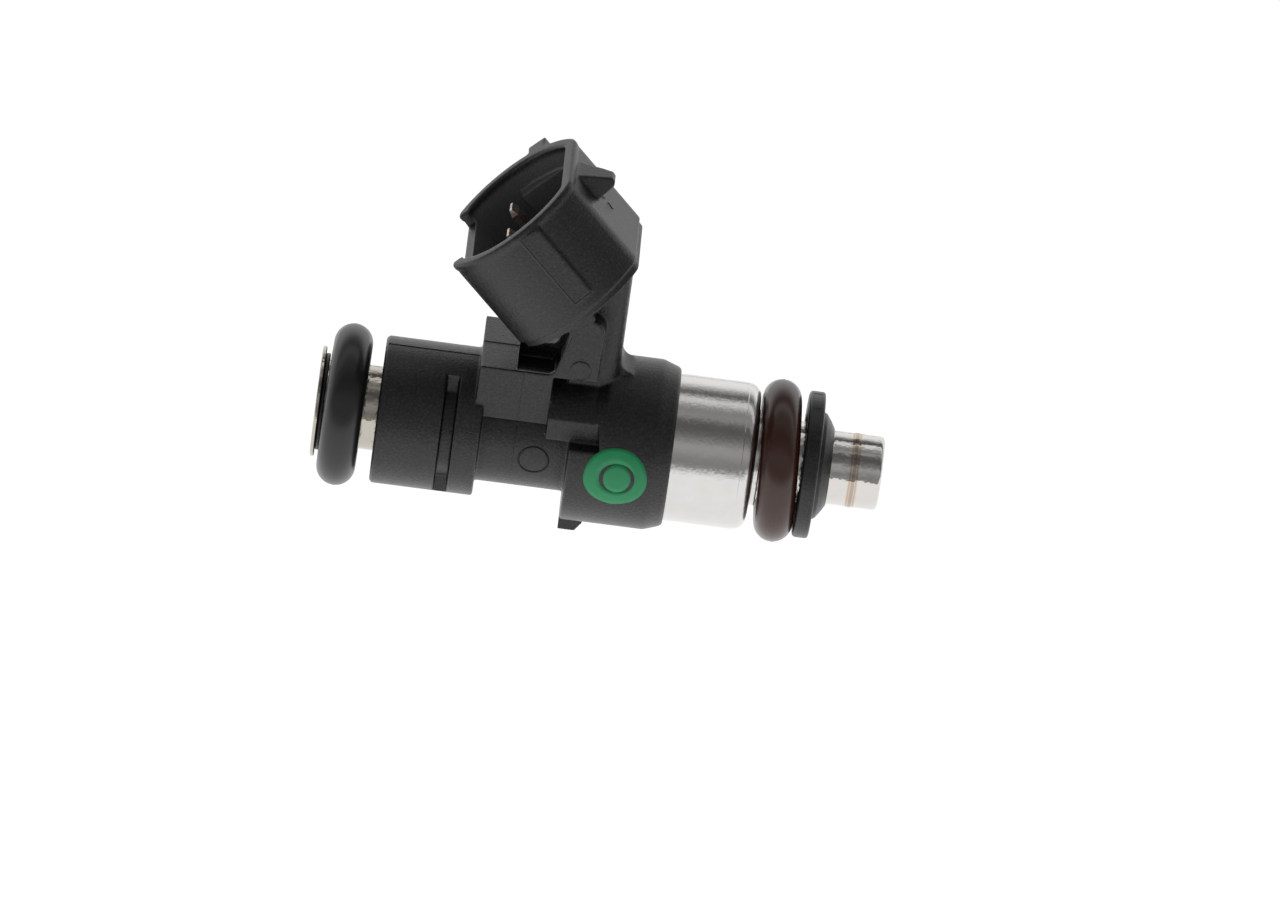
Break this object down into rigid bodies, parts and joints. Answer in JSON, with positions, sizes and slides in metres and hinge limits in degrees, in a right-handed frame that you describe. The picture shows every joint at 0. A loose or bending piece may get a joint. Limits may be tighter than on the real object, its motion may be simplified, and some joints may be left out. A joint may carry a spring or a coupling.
{
  "type": "fuel injector",
  "caption": "Compact solenoid fuel injector: O-ring sealed steel sleeve with a nozzle end, moulded black body and a slanted two-blade connector socket.",
  "frame": {"origin": "middle of the manifold O-ring, on the injector's axis", "axes": "+X along the axis in the spray direction, +Z toward the connector side, the injector lying on its side"},
  "size_m": [0.0508, 0.0174, 0.0364],
  "materials": {
    "black_plastic": "fine moulded grain",
    "ring_plastic": "satin",
    "tinned_blade": "thin tin over bronze",
    "sleeve_steel": "drawn and polished",
    "housing_steel": "turned, then tumbled",
    "magnet_steel": "ground",
    "needle_steel": "lapped",
    "spring_steel": "drawn wire",
    "black_rubber": "oiled",
    "brown_rubber": "oiled",
    "bobbin_plastic": "moulded",
    "copper_wire": "enamelled",
    "filter_plastic": "moulded",
    "filter_cloth": "woven mesh",
    "filter_brass": "drawn"
  },
  "bodies": {
    "injector": {"overmould_body": "black_plastic", "terminal_left": "tinned_blade", "terminal_right": "tinned_blade", "valve_sleeve": "sleeve_steel", "rail_backup_ring": "ring_plastic", "rail_o_ring": "black_rubber", "manifold_o_ring": "brown_rubber", "retaining_ring": "ring_plastic", "magnet_housing": "housing_steel", "coil_bobbin": "bobbin_plastic", "coil_winding": "copper_wire", "coil_leads": "copper_wire", "flux_washer": "magnet_steel", "inner_pole": "magnet_steel", "adjusting_sleeve": "sleeve_steel", "return_spring": "spring_steel", "valve_seat": "needle_steel", "orifice_disc": "sleeve_steel", "filter_frame": "filter_plastic", "filter_mesh": "filter_cloth", "filter_ring": "filter_brass"},
    "needle": {"armature": "magnet_steel", "needle_tube": "needle_steel", "valve_ball": "needle_steel"}
  },
  "joints": [
    {"name": "needle_lift", "type": "slide", "parent": "injector", "child": "needle", "axis": [-1, 0, 0], "range_m": [0, 0.00009], "stiffness_N_per_m": 1000, "springref_m": -0.002, "deforming": ["return_spring"]}
  ]
}
